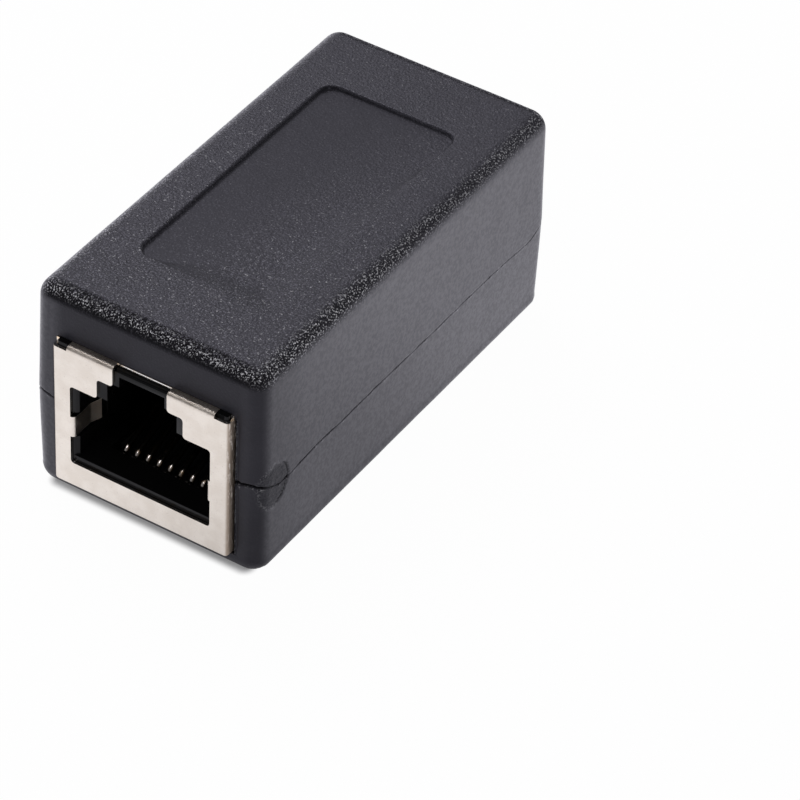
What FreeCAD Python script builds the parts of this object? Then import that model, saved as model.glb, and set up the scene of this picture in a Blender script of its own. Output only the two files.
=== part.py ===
"""Shielded modular-jack inline coupler: two jacks back to back under one board, in one overmoulding.

Frame: X across the width, Y along the length with the front port facing -Y, Z up.
The origin lies under the middle of the coupler, on the plane that it rests on. Lengths are in
millimetres.
"""
import FreeCAD, Part
import math
import os

from FreeCAD import Vector

# Jack, as seated in the overmoulding
sheet = 0.25               # shield metal
bendRadius = 0.4           # outside of each fold
shieldWidth = 16.0
shieldHeight = 13.65
jackDepth = 21.0
jackGap = 0.4              # web of plastic between the backs of the two jacks
seatGap = 0.05             # between the shield and what it holds

# Overmoulding round the two jacks and the board
sideWall = 2.5             # at the parting plane, beside the shields
jackFloor = 1.65           # plastic under each shield
roof = 2.55                # plastic over the board
portProtrusion = 0.7       # how far each shield face stands out of the overmoulding
partingHeight = 8.32
draftAngle = 1.0           # degrees, away from the parting plane on both sides
edgeRadius = 1.4
grooveWidth = 0.14         # witness line left by the two mould halves
grooveDepth = 0.07
recessWidth = 12.3
recessLength = 26.2
recessDepth = 0.4
recessCornerRadius = 1.2

# Stepped window in the shield face, which leaves a rim of the insulator in sight
windowSill = 2.43          # shield underside to the lower edge of the window
sillMargin = 0.57
sideMargin = 0.44
headMargin = 0.08
shoulderMargin = 0.76
notchMargin = 0.41
windowCornerRadius = 0.3
notchLength = 0.7          # how far the notch runs into the top flange
flangeWidth = 13.36
flangeLength = 5.5
reliefHeight = 0.3         # bend relief at the upper corners of the face

# Ground fingers, one on each side of the window
fingerWidth = 1.95
fingerRise = 2.58          # window sill to the lower edge of the finger
fingerReach = 0.2          # how far each crest stands into the plug cavity
fingerCrestDepth = 2.3     # shield face to the crest
fingerLength = 3.7
fingerBend = 0.5
fingerCrestRadius = 0.9
fingerGrooveClearance = 0.2

# Plug cavity in the insulator
plugWidth = 11.9
plugHeight = 6.9
plugDepth = 12.5
leadIn = 0.35
frontWall = 1.45           # wall that the plug's latch catches behind
latchShoulderWidth = 6.3
latchShoulderRise = 1.85
latchSlotWidth = 4.1
latchHeight = 2.85         # cavity ceiling to the top of the latch chamber
latchChamberWidth = 6.6
insulatorFloor = 0.77
postGap = 0.05             # corner posts beside the top flange
combWall = 0.8
combSlotWidth = 0.62
combLow = 2.0              # cavity floor to the lower end of the comb slots
combHeight = 3.2

# Wire contacts
contactCount = 8
contactPitch = 1.016
wireDiameter = 0.46
wireSides = 8              # flats that stand for the round wire
wireBendRadius = 0.87      # centre line of the bend round the tongue
wireRise = 21.0            # degrees, slope of the sprung leg
bendDepth = 3.1            # shield face to the foremost point of the bend's centre line
springReach = 12.95        # shield face to the tips of the sprung legs
tailDepth = 15.3           # shield face to the nearer row of tails
tailRowSpacing = 2.54
wireGap = 0.02

# Contact carrier
tongueThickness = 0.9
carrierWidth = 9.0
carrierRear = 18.4         # shield face to the back of the carrier
carrierGap = 0.06
tailSlotWidth = 0.5

# Circuit board over both jacks
boardInset = 2.7           # shield face to the end of the board
boardThickness = 1.6
boardGap = 0.05            # shield edge to the board
holeGap = 0.05             # around the pegs
pegDiameter = 3.2
pegSpacing = 11.43
pegDepth = 8.6             # shield face to the pegs
tabWidth = 1.5             # solder tabs of the shield, at the board's long edges
tabDepth = 12.7

# Sizes and places that follow from those above
jackBack = -jackGap / 2
faceY = jackBack - jackDepth
bodyFront = faceY + portProtrusion
bodyLength = -2 * bodyFront
bodyWidth = shieldWidth + 2 * sideWall
boardWidth = shieldWidth - 2 * sheet
boardLength = -2 * (faceY + boardInset)
jackTop = jackFloor + shieldHeight
sillZ = jackFloor + windowSill
insulatorFront = faceY + sheet + seatGap
insulatorBack = jackBack - sheet - seatGap
insulatorBase = jackFloor + sheet + seatGap
underFlange = jackTop - sheet - seatGap
boardUnder = jackTop + boardGap
boardTop = boardUnder + boardThickness
bodyHeight = boardTop + roof
windowWidth = plugWidth + 2 * sideMargin
shoulderWidth = latchShoulderWidth + 2 * shoulderMargin
notchWidth = latchSlotWidth + 2 * notchMargin
cavityFloor = sillZ + sillMargin
cavityCeiling = cavityFloor + plugHeight
shoulderZ = cavityCeiling + headMargin
notchZ = shoulderZ + latchShoulderRise
latchCeiling = cavityCeiling + latchHeight
cavityBack = faceY + plugDepth
channelFloor = insulatorBase + insulatorFloor
wireZ = channelFloor + wireGap + wireDiameter / 2
tongueUnder = wireZ + wireDiameter / 2 + wireGap
bendCentreY = faceY + bendDepth + wireBendRadius
bendCentreZ = wireZ + wireBendRadius
tongueTop = tongueUnder + tongueThickness
carrierChamberFront = cavityBack + combWall
carrierFront = carrierChamberFront + carrierGap


def block(x0, x1, y0, y1, z0, z1):
    return Part.makeBox(x1 - x0, y1 - y0, z1 - z0, Vector(x0, y0, z0))


def centred(width, y0, y1, z0, z1):
    """A block of the given width, centred on X."""
    return block(-width / 2, width / 2, y0, y1, z0, z1)


def both(shape):
    """A shape and its mirror image across the middle plane."""
    return [shape, shape.mirror(Vector(0, 0, 0), Vector(1, 0, 0))]


def edgesAlong(shape, axis, test=lambda centre: True):
    """Straight edges parallel to an axis, whose middle passes a test."""
    found = []
    for edge in shape.Edges:
        if edge.Degenerated or edge.Curve.TypeId != "Part::GeomLine":
            continue
        direction = edge.Vertexes[-1].Point.sub(edge.Vertexes[0].Point).normalize()
        if abs(abs(direction.dot(axis)) - 1) < 1e-6 and test(edge.CenterOfMass):
            found.append(edge)
    return found


def rectangle(width, length, z):
    corners = [(-width, -length), (width, -length), (width, length), (-width, length)]
    return Part.makePolygon([Vector(x / 2, y / 2, z) for x, y in corners + corners[:1]])


def mouldHalf(height):
    """One side of the overmoulding: a drafted block on the parting plane, with its far edges rounded."""
    shrink = 2 * abs(height) * math.tan(math.radians(draftAngle))
    far = partingHeight + height
    lower = rectangle(bodyWidth, bodyLength, partingHeight)
    upper = rectangle(bodyWidth - shrink, bodyLength - shrink, far)
    half = Part.makeLoft([lower, upper], True, True)
    rounded = [e for e in half.Edges if any(abs(v.Z - far) < 1e-6 for v in e.Vertexes)]
    return half.makeFillet(edgeRadius, rounded)


def roundedPlate(width, length, z0, z1, radius):
    plate = centred(width, -length / 2, length / 2, z0, z1)
    return plate.makeFillet(radius, edgesAlong(plate, Vector(0, 0, 1)))


def recessTool():
    """The shallow label recess in the top."""
    return roundedPlate(recessWidth, recessLength, bodyHeight - recessDepth, bodyHeight + recessDepth,
                        recessCornerRadius)


def partingGroove():
    """A thin frame that leaves a groove where the mould halves met."""
    low, high = partingHeight - grooveWidth / 2, partingHeight + grooveWidth / 2
    outside = centred(2 * bodyWidth, -bodyLength, bodyLength, low, high)
    inside = roundedPlate(bodyWidth - 2 * grooveDepth, bodyLength - 2 * grooveDepth, low, high,
                          edgeRadius - grooveDepth)
    return outside.cut(inside)


def shieldEnvelope():
    """The outside of the folded shield, also what it displaces in the overmoulding."""
    outer = centred(shieldWidth, faceY, jackBack, jackFloor, jackTop)
    return outer.makeFillet(bendRadius, [e for e in outer.Edges if abs(e.CenterOfMass.y - faceY) < 1e-6])


def solderTabs():
    """Tabs on the sides of the shield that rise past the board's edges."""
    y0 = faceY + tabDepth
    return both(block(shieldWidth / 2 - sheet, shieldWidth / 2, y0, y0 + tabWidth, jackTop, boardTop))


def windowTool():
    """The stepped window, cut through the face; its notch runs on through the fold into the flange."""
    half = [(windowWidth / 2, sillZ), (windowWidth / 2, shoulderZ), (shoulderWidth / 2, shoulderZ),
            (shoulderWidth / 2, notchZ), (notchWidth / 2, notchZ), (notchWidth / 2, jackTop + sheet)]
    outline = half + [(-x, z) for x, z in reversed(half)]
    face = Part.Face(Part.makePolygon([Vector(x, faceY - sheet, z) for x, z in outline + outline[:1]]))
    tool = face.extrude(Vector(0, 2 * sheet + bendRadius, 0))
    corners = edgesAlong(tool, Vector(0, 1, 0), lambda c: c.z < jackTop)
    tool = tool.makeFillet(windowCornerRadius, corners)
    return tool.fuse(centred(notchWidth, faceY, faceY + notchLength, notchZ + sheet, jackTop + sheet))


def bentStrip(points, radii, thickness, z0, z1):
    """Sheet bent about upright axes: a centre line in XY with one bend radius for each inner point."""
    sides = []
    for sign in (1, -1):
        offset = sign * thickness / 2
        edges, start = [], None
        for i, (x, y) in enumerate(points):
            here = Vector(x, y, z0)
            before = here.sub(Vector(*points[i - 1], z0)).normalize() if i else None
            after = Vector(*points[i + 1], z0).sub(here).normalize() if i < len(points) - 1 else None
            if before is None or after is None:
                along = after or before
                end = here.add(Vector(-along.y, along.x, 0) * offset)
                if start:
                    edges.append(Part.LineSegment(start, end).toShape())
                start = end
                continue
            turn = math.atan2(before.x * after.y - before.y * after.x, before.dot(after))
            side = math.copysign(1, turn)
            length = radii[i - 1] * math.tan(abs(turn) / 2)
            centre = here.sub(before * length).add(Vector(-before.y, before.x, 0) * side * radii[i - 1])
            reach = radii[i - 1] - side * offset
            arc = [centre.add(Vector(d.y, -d.x, 0) * side * reach)
                   for d in (before, before.add(after).normalize(), after)]
            edges.append(Part.LineSegment(start, arc[0]).toShape())
            edges.append(Part.Arc(*arc).toShape())
            start = arc[2]
        sides.append(edges)
    caps = [Part.LineSegment(sides[0][k].Vertexes[v].Point, sides[1][k].Vertexes[v].Point).toShape()
            for k, v in ((0, 0), (-1, -1))]
    outline = Part.Wire(Part.__sortEdges__(sides[0] + sides[1] + caps))
    return Part.Face(outline).extrude(Vector(0, 0, z1 - z0))


def groundFinger():
    """The right-hand finger: folded in from the window's edge, crowned towards the plug, and back out."""
    root = windowWidth / 2
    crest = plugWidth / 2 - fingerReach + sheet / 2
    low = sillZ + fingerRise
    points = [(root + fingerBend, faceY + sheet / 2), (root - sheet / 2, faceY + sheet / 2),
              (crest, faceY + fingerCrestDepth), (root - sheet, faceY + fingerLength)]
    return bentStrip(points, [fingerBend / 2, fingerCrestRadius], sheet, low, low + fingerWidth)


def roundedFront(shape, front):
    """Rounds the front edges of what lies inside the shield, all but the upper one."""
    edges = [e for e in shape.Edges if e.CenterOfMass.y < front + 1e-6 and e.CenterOfMass.z < jackTop]
    return shape.makeFillet(bendRadius - sheet, edges)


def shield():
    """One folded sheet: face, sides, underside, rear and a short top flange, open towards the board."""
    inner = centred(shieldWidth - 2 * sheet, faceY + sheet, jackBack - sheet, jackFloor + sheet, boardTop)
    inner = roundedFront(inner, faceY + sheet)
    box = shieldEnvelope().cut(inner)
    flange = centred(flangeWidth, faceY + bendRadius, faceY + flangeLength, jackTop - sheet, jackTop)
    web = centred(flangeWidth, faceY + sheet, faceY + bendRadius, jackTop - bendRadius, jackTop)
    foldAxis = Vector(-flangeWidth / 2, faceY + bendRadius, jackTop - bendRadius)
    inside = Part.makeCylinder(bendRadius - sheet, flangeWidth, foldAxis, Vector(1, 0, 0))
    box = box.fuse([flange, web.common(shieldEnvelope()).cut(inside)])
    cuts = [windowTool()] + both(block(flangeWidth / 2, shieldWidth, faceY - sheet, bodyFront,
                                       jackTop - reliefHeight, jackTop + sheet))
    return box.cut(cuts).fuse(both(groundFinger()) + solderTabs()).removeSplitter()


def plugCavity():
    """Everything that the insulator leaves open to the plug."""
    ahead = faceY - sheet
    wallBack = insulatorFront + frontWall
    cavity = centred(plugWidth, ahead, cavityBack, cavityFloor, cavityCeiling)
    mouth = [(-plugWidth / 2 - leadIn, insulatorFront), (plugWidth / 2 + leadIn, insulatorFront),
             (plugWidth / 2, insulatorFront + leadIn), (-plugWidth / 2, insulatorFront + leadIn)]
    outline = Part.makePolygon([Vector(x, y, cavityFloor) for x, y in mouth + mouth[:1]])
    taper = Part.Face(outline).extrude(Vector(0, 0, plugHeight))
    shoulderTop = cavityCeiling + latchShoulderRise
    shoulder = centred(latchShoulderWidth, ahead, wallBack, cavityCeiling, shoulderTop)
    slot = centred(latchSlotWidth, ahead, wallBack, cavityCeiling, latchCeiling)
    chamber = centred(latchChamberWidth, wallBack, cavityBack, cavityCeiling, latchCeiling)
    return cavity.fuse([taper, shoulder, slot, chamber])


def fingerGroove():
    low = sillZ + fingerRise - fingerGrooveClearance
    return block(plugWidth / 2, windowWidth / 2 + fingerGrooveClearance, insulatorFront,
                 faceY + fingerLength + fingerBend, low, low + fingerWidth + 2 * fingerGrooveClearance)


def contactPlaces():
    return [(i - (contactCount - 1) / 2) * contactPitch for i in range(contactCount)]


def combSlots():
    half, low = combSlotWidth / 2, cavityFloor + combLow
    return [block(x - half, x + half, cavityBack, carrierChamberFront, low, low + combHeight)
            for x in contactPlaces()]


def insulator():
    """The moulding that holds the plug, seated on the board, with a carrier channel under its floor."""
    width = shieldWidth - 2 * (sheet + seatGap)
    body = centred(width, insulatorFront, insulatorBack, insulatorBase, boardUnder)
    body = roundedFront(body, insulatorFront)
    underSheet = centred(flangeWidth + 2 * postGap, insulatorFront, faceY + flangeLength + postGap,
                         underFlange, boardUnder)
    posts = centred(width, insulatorFront, faceY + flangeLength + postGap, jackTop, boardUnder)
    room = carrierWidth + 2 * carrierGap
    wireFront = faceY + bendDepth - wireDiameter
    channel = centred(room, wireFront, insulatorBack, channelFloor, cavityFloor)
    chamber = centred(room, carrierChamberFront, insulatorBack, channelFloor, boardUnder)
    spaces = [underSheet, posts, plugCavity(), channel, chamber]
    body = body.cut(spaces + both(fingerGroove()) + combSlots())
    pegs = [Part.makeCylinder(pegDiameter / 2, boardThickness, Vector(x, faceY + pegDepth, boardUnder))
            for x in (-pegSpacing / 2, pegSpacing / 2)]
    return body.fuse(pegs).removeSplitter()


def tailY(index):
    return faceY + tailDepth + (tailRowSpacing if index % 2 else 0)


def contact(index):
    """A round wire: up from the board's hole, under the tongue, round its end and back as a spring."""
    x = contactPlaces()[index]
    slope = math.radians(wireRise)
    bottom = Vector(x, bendCentreY, wireZ)
    front = Vector(x, bendCentreY - wireBendRadius, bendCentreZ)
    leave = Vector(x, bendCentreY - wireBendRadius * math.sin(slope),
                   bendCentreZ + wireBendRadius * math.cos(slope))
    run = faceY + springReach - leave.y
    tip = leave.add(Vector(0, run, run * math.tan(slope)))
    foot = Vector(x, tailY(index), wireZ)
    path = Part.Wire([Part.LineSegment(Vector(x, tailY(index), boardTop), foot).toShape(),
                      Part.LineSegment(foot, bottom).toShape(),
                      Part.Arc(bottom, front, leave).toShape(),
                      Part.LineSegment(leave, tip).toShape()])
    radius = wireDiameter / 2
    turns = [2 * math.pi * (i + 0.5) / wireSides for i in range(wireSides + 1)]
    section = Part.makePolygon([Vector(x + radius * math.cos(a), foot.y + radius * math.sin(a), boardTop)
                                for a in turns])
    return path.makePipeShell([section], True, False, 1)


def contactCarrier():
    """Tongue under the wires' bends and a riser with a slot for each tail."""
    tongueEnd = bendCentreY - wireGap
    tongue = centred(carrierWidth, tongueEnd, carrierFront, tongueUnder, tongueTop)
    riser = centred(carrierWidth, carrierFront, faceY + carrierRear, tongueUnder, jackTop)
    slots = [block(x - tailSlotWidth / 2, x + tailSlotWidth / 2, tailY(i) - tailSlotWidth / 2, jackBack,
                   tongueUnder - sheet, jackTop + sheet)
             for i, x in enumerate(contactPlaces())]
    return tongue.fuse(riser).cut(slots).removeSplitter()


def jack():
    """The pieces of one jack, in the front position, by name."""
    pieces = {"shield": shield(), "insulator": insulator(), "contact_carrier": contactCarrier()}
    for i in range(contactCount):
        pieces[f"contact_{i + 1}"] = contact(i)
    return pieces


def turned(shape):
    """The same piece in the rear jack, which is the front one turned half round."""
    copy = shape.copy()
    copy.rotate(Vector(0, 0, 0), Vector(0, 0, 1), 180)
    return copy


def circuitBoard(tails):
    """The board that joins the jacks; solder fills each hole round its tail, the pegs have clearance."""
    board = centred(boardWidth, -boardLength / 2, boardLength / 2, boardUnder, boardTop)
    radius = pegDiameter / 2 + holeGap
    holes = [Part.makeCylinder(radius, boardThickness, Vector(x, faceY + pegDepth, boardUnder))
             for x in (-pegSpacing / 2, pegSpacing / 2)]
    tools = tails + holes
    return board.cut(tools + [turned(tool) for tool in tools])


def mouldedBody():
    """One moulding round both jacks and the board, open only where the ports come through its ends."""
    body = mouldHalf(bodyHeight - partingHeight).fuse(mouldHalf(-partingHeight))
    body = body.removeSplitter()
    jackSpace = shieldEnvelope().fuse(solderTabs())
    boardSpace = centred(boardWidth, -boardLength / 2, boardLength / 2, jackTop, boardTop)
    return body.cut([partingGroove(), recessTool(), jackSpace, turned(jackSpace), boardSpace])


def save(name, shape):
    solids = shape.Solids
    if len(solids) != 1:
        raise ValueError(f"{name} has {len(solids)} solids")
    solids[0].exportStep(f"parts/{name}.step")


os.makedirs("parts", exist_ok=True)
jackPieces = jack()
save("moulded_body", mouldedBody())
save("circuit_board", circuitBoard([jackPieces[f"contact_{i + 1}"] for i in range(contactCount)]))
for pieceName, piece in jackPieces.items():
    save(f"front_{pieceName}", piece)
    save(f"rear_{pieceName}", turned(piece))
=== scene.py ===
import math
import bmesh
import bpy
import numpy as np
from mathutils import Matrix, Vector


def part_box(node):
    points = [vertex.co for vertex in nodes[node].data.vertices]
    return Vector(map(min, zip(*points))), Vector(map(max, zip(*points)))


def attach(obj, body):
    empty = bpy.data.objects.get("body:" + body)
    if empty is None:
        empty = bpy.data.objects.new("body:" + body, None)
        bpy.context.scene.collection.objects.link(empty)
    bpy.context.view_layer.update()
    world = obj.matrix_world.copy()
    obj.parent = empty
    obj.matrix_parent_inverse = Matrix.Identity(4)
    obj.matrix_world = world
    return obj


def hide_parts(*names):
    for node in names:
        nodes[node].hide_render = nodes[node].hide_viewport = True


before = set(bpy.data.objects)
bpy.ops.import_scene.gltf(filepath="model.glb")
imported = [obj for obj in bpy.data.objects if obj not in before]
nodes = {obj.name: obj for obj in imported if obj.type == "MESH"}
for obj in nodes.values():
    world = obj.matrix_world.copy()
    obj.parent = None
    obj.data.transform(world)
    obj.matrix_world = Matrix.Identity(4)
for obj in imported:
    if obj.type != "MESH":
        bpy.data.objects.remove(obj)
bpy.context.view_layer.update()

# Inline coupler with a modular jack at each end. Lengths below are in millimetres, in the frame's own axes:
# X across, Y from the front port to the rear one, Z up. mm turns them into metres.
mm = 0.001
scene = bpy.context.scene


def nodeBox(name):
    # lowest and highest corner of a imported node, in millimetres
    return [np.array(corner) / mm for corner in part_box(name)]


# numbers along a line
def steps(start, stop, size):
    # evenly spaced values from start to stop, no further apart than size
    return np.linspace(start, stop, max(2, int(math.ceil(abs(stop - start) / size)) + 1))


def gather(*runs):
    # all runs in one rising array, without repeats
    values = np.sort(np.concatenate([np.atleast_1d(run) for run in runs]))
    return values[np.concatenate([[True], np.diff(values) > 1e-6])]


def smoothStep(low, high, value):
    # 0 below low, 1 above high, an S-curve 3t^2 - 2t^3 between
    t = np.clip((value - low) / (high - low), 0, 1)
    return t * t * (3 - 2 * t)


def hill(value, centre, width):
    # 1 at the centre, falling on both sides as exp(-((value - centre) / width)^2)
    return np.exp(-((value - centre) / width) ** 2)


def wander(position, wave, seed):
    # slow uneven swing of about -1 to 1: five sines, each 1.7 times shorter and 0.6 times as high as before
    draw = np.random.RandomState(seed)
    total = np.zeros_like(position, dtype=float)
    for octave in range(5):
        turn = 2 * np.pi * position / wave * 1.7 ** octave * draw.uniform(0.85, 1.15)
        total += np.sin(turn + draw.uniform(0, 6.28)) * 0.6 ** octave
    return total / 2.3


def wanderOver(a, b, wave, seed):
    # the same over two directions: sines whose crests run at random angles
    draw = np.random.RandomState(seed)
    total = np.zeros_like(a, dtype=float)
    for octave in range(9):
        angle = draw.uniform(0, np.pi)
        along = a * np.cos(angle) + b * np.sin(angle)
        total += np.sin(2 * np.pi * along / wave * 1.25 ** octave + draw.uniform(0, 6.28)) * 0.82 ** octave
    return total / 3.5


# meshes
def stand(name, data):
    # a new object for a mesh, a lamp or a camera, linked into the scene
    thing = bpy.data.objects.new(name, data)
    scene.collection.objects.link(thing)
    return thing


def meshPiece(name, points, faces, marks=None):
    # points in millimetres, faces as an array of quads or a list of loops; marks are float values per point
    mesh = bpy.data.meshes.new(name)
    loops = faces.tolist() if isinstance(faces, np.ndarray) else faces
    mesh.from_pydata((np.asarray(points) * mm).tolist(), [], loops)
    for mark, values in (marks or {}).items():
        layer = mesh.attributes.new(mark, "FLOAT", "POINT")
        layer.data.foreach_set("value", np.ascontiguousarray(values, dtype=np.float32).ravel())
    mesh.polygons.foreach_set("use_smooth", np.ones(len(mesh.polygons), dtype=bool))
    mesh.update()
    return stand(name, mesh)


def gridFaces(rows, columns, wrapRows=False, wrapColumns=False):
    # quads over a grid of points stored row by row, closed on itself where asked
    r = np.arange(rows if wrapRows else rows - 1)[:, None]
    c = np.arange(columns if wrapColumns else columns - 1)[None, :]
    down, right = (r + 1) % rows, (c + 1) % columns
    corners = [r * columns + c, r * columns + right, down * columns + right, down * columns + c]
    return np.stack(corners, -1).reshape(-1, 4)


def axes(vectors):
    # the three coordinates of an array of points or directions
    return np.moveaxis(vectors, -1, 0)


def turned(points):
    # half a turn about the upright axis: the rear jack is the front one turned round
    return np.asarray(points) * np.array([-1.0, -1.0, 1.0])


def fit(piece, slotName, replaced, *finishes):
    # the calls that every new piece needs
    for finish in finishes:
        piece.data.materials.append(finish)
    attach(piece, "root")
    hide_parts(replaced)
    return piece


def roundEdges(piece, radius, angle, rim):
    # rounds every edge sharper than angle degrees; rim numbers the finish of the new faces, -1 for none
    edges = piece.modifiers.new("edges", "BEVEL")
    edges.width, edges.segments, edges.limit_method = radius * mm, 2, "ANGLE"
    edges.angle_limit, edges.harden_normals, edges.material = math.radians(angle), True, rim


# shader maths
class Wire:
    # one output socket that can stand in a Python expression; each operator adds a Math node
    def __init__(self, finish, socket):
        self.finish, self.socket = finish, socket

    def beside(self, name):
        # another output of the same node
        return Wire(self.finish, self.socket.node.outputs[name])

    def math(self, how, *others):
        return self.finish.add("ShaderNodeMath", {"operation": how}, dict(enumerate((self,) + others)))

    def __add__(self, other):
        return self.math("ADD", other)

    __radd__ = __add__

    def __mul__(self, other):
        return self.math("MULTIPLY", other)

    __rmul__ = __mul__

    def __sub__(self, other):
        return self.math("SUBTRACT", other)

    def __rsub__(self, other):
        return self.finish.add("ShaderNodeMath", {"operation": "SUBTRACT"}, {0: other, 1: self})

    def __truediv__(self, other):
        return self.math("DIVIDE", other)

    def __pow__(self, other):
        return self.math("POWER", other)

    def ramp(self, low, high, atLow=0.0, atHigh=1.0):
        # atLow at low, atHigh at high, smooth between
        sockets = {"Value": self, "From Min": low, "From Max": high, "To Min": atLow, "To Max": atHigh}
        return self.finish.add("ShaderNodeMapRange", {"interpolation_type": "SMOOTHSTEP"}, sockets)


class Nodes:
    # a node tree; add() makes any node from its type, its settings, and what goes into its sockets
    def __init__(self, owner):
        owner.use_nodes = True
        self.tree = owner.node_tree

    def add(self, kind, settings, sockets, out=0):
        node = self.tree.nodes.new(kind)
        for key, value in settings.items():
            setattr(node, key, value)
        for key, value in sockets.items():
            self.join(value, node.inputs[key])
        return Wire(self, node.outputs[out])

    def join(self, value, socket):
        if isinstance(value, Wire):
            self.tree.links.new(value.socket, socket)
        else:
            socket.default_value = value


class Finish(Nodes):
    # one material, made round its principled shader
    def __init__(self, name, **surface):
        self.material = bpy.data.materials.new(name)
        super().__init__(self.material)
        self.shader = self.tree.nodes["Principled BSDF"]
        for socket, value in surface.items():
            self.shader.inputs[socket.replace("_", " ")].default_value = value
        self.place = self.add("ShaderNodeTexCoord", {}, {}, "Object")

    def feed(self, socket, value):
        self.join(value, self.shader.inputs[socket])

    def noise(self, size, detail=2.0, rough=0.5, stretch=None):
        # noise whose patches measure about size millimetres; stretch gives other sizes along the three axes
        place = self.place
        if stretch:
            place = self.add("ShaderNodeVectorMath", {"operation": "MULTIPLY"}, {0: place, 1: stretch})
        sockets = {"Vector": place, "Scale": 1 / (size * mm), "Detail": detail, "Roughness": rough}
        return self.add("ShaderNodeTexNoise", {"noise_dimensions": "3D"}, sockets, "Fac")

    def cells(self, size):
        # distance to the nearest of points strewn about size millimetres apart
        sockets = {"Vector": self.place, "Scale": 1 / (size * mm)}
        return self.add("ShaderNodeTexVoronoi", {"feature": "F1"}, sockets, "Distance")

    def mark(self, name):
        return self.add("ShaderNodeAttribute", {"attribute_name": name}, {}, "Fac")

    def blend(self, factor, first, second):
        return self.add("ShaderNodeMix", {"data_type": "RGBA"}, {"Factor": factor, 6: first, 7: second}, 2)

    def bump(self, height, depth, strength, under=None):
        # depth in millimetres for a height of 1
        sockets = {"Height": height, "Distance": depth * mm, "Strength": strength}
        if under:
            sockets["Normal"] = under
        return self.add("ShaderNodeBump", {}, sockets, "Normal")


def grey(level, tint=(1.0, 1.0, 1.0)):
    return (*(level * part for part in tint), 1.0)


# housing
bodyLow, bodyHigh = nodeBox("moulded_body")
shieldLow = nodeBox("front_shield")[0]
boardHigh = nodeBox("circuit_board")[1]
housing = {
    "edgeRound": 1.4, "cornerRound": 1.55, "draft": math.tan(math.radians(1.0)), "partingZ": 8.32,
    # height of the parting line, by distance from the middle along the side and on round the corner
    "seamPath": ((0, 8.35), (9, 8.35), (13, 8.4), (16.3, 8.13), (17.85, 8.08), (18.5, 8.32), (19.3, 8.7),
                 (20.3, 8.93), (20.95, 9.17), (21.5, 9.23), (22.1, 9.1), (22.8, 8.95)),
    "seamReach": 3.2, "seamDepth": 0.13, "seamHalf": 0.075, "seamWander": 0.05, "seamBand": 1.2,
    "mismatch": 0.02, "crackFrom": (19.2, 20.6), "crackJag": 0.08, "flashHigh": 0.07,
    "underFront": 0.2, "underSide": 0.3, "sink": 0.05, "wave": 0.012,
    "recessHalf": (6.15, 13.1), "recessRound": 1.2, "recessDepth": 0.38, "recessWall": (0.12, 2.4),
    "gap": 0.02, "portTop": 15.30, "portHalf": 8.0, "portRound": 0.25,
    "scarCentre": (10.4, -18.7, 8.5), "scarHalf": (1.9, 2.0), "scarDepth": 0.05,
    # how far the wall beside the shield stands back, by height; a bead of plastic runs along it
    "shutOff": ((2.1, 0.22), (6.8, 0.32), (14.4, 0.12)), "beadHigh": 0.13, "dipDeep": 0.05, "lipHigh": 0.05,
    # where these lie across an end face, by the row mark: 1 at its rim, 2 at the shield
    "bead": (1.8, 0.035), "dip": (1.68, 0.06), "sunkFrom": (1.84, 1.9), "gapFrom": (1.9, 1.96),
    # strength of the painted sparkle (glint specks and dark ground) along the side edges, at the front and
    # at the back
    "sparkle": (0.9, 0.55),
}


def roundedLoop(halfX, lowZ, highZ, radius, sides, turns):
    # once round a rounded rectangle in XZ: up the right side, left along the top, down the left side, right
    # along the bottom. sides are fractions along the straights, turns the angles of a corner arc; returns
    # points and normals
    right, top, left, bottom = sides
    x0, z0, z1 = halfX - radius, lowZ + radius, highZ - radius
    straights = [
        (np.full(right.size, halfX), z0 + right * (z1 - z0), 0.0),
        (x0 - top * 2 * x0, np.full(top.size, highZ), np.pi / 2),
        (np.full(left.size, -halfX), z1 - left * (z1 - z0), np.pi),
        (-x0 + bottom * 2 * x0, np.full(bottom.size, lowZ), 1.5 * np.pi),
    ]
    corners = [(x0, z1, 0.0), (-x0, z1, np.pi / 2), (-x0, z0, np.pi), (x0, z0, 1.5 * np.pi)]
    places, normals = [], []
    for (x, z, facing), (cx, cz, start) in zip(straights, corners):
        places.append(np.stack([x, z], 1))
        normals.append(np.tile([np.cos(facing), np.sin(facing)], (x.size, 1)))
        arc = start + turns
        normals.append(np.stack([np.cos(arc), np.sin(arc)], 1))
        places.append(np.array([cx, cz]) + radius * normals[-1])
    return np.concatenate(places), np.concatenate(normals)


def ringAt(loop, y):
    # a loop in XZ, or its normals, as points in space at y
    return np.stack([loop[:, 0], np.broadcast_to(y, len(loop)), loop[:, 1]], 1)


def portFractions(side, seamHere, seamThere):
    # bends the spacing of a side so that the parting line runs on to its own height at the shield
    return np.where(side < seamHere, side * seamThere / seamHere,
                    seamThere + (side - seamHere) * (1 - seamThere) / (1 - seamHere))


def recessShape(x, y, steep, soft):
    # 1 inside the label recess, falling to 0 over its wall, by the distance to a rounded rectangle. The wall
    # is steep on the left and at the back, and runs out softly on the right and at the front
    hx, hy = housing["recessHalf"]
    radius = housing["recessRound"]
    qx, qy = np.abs(x) - (hx - radius), np.abs(y) - (hy - radius)
    outside = np.hypot(np.maximum(qx, 0), np.maximum(qy, 0)) + np.minimum(np.maximum(qx, qy), 0) - radius
    worn = smoothStep(0.1, 0.9, x / hx - y / hy)
    return 1 - smoothStep(-(steep + (soft - steep) * worn), 0.25 * (soft - steep) * worn, outside)


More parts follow.
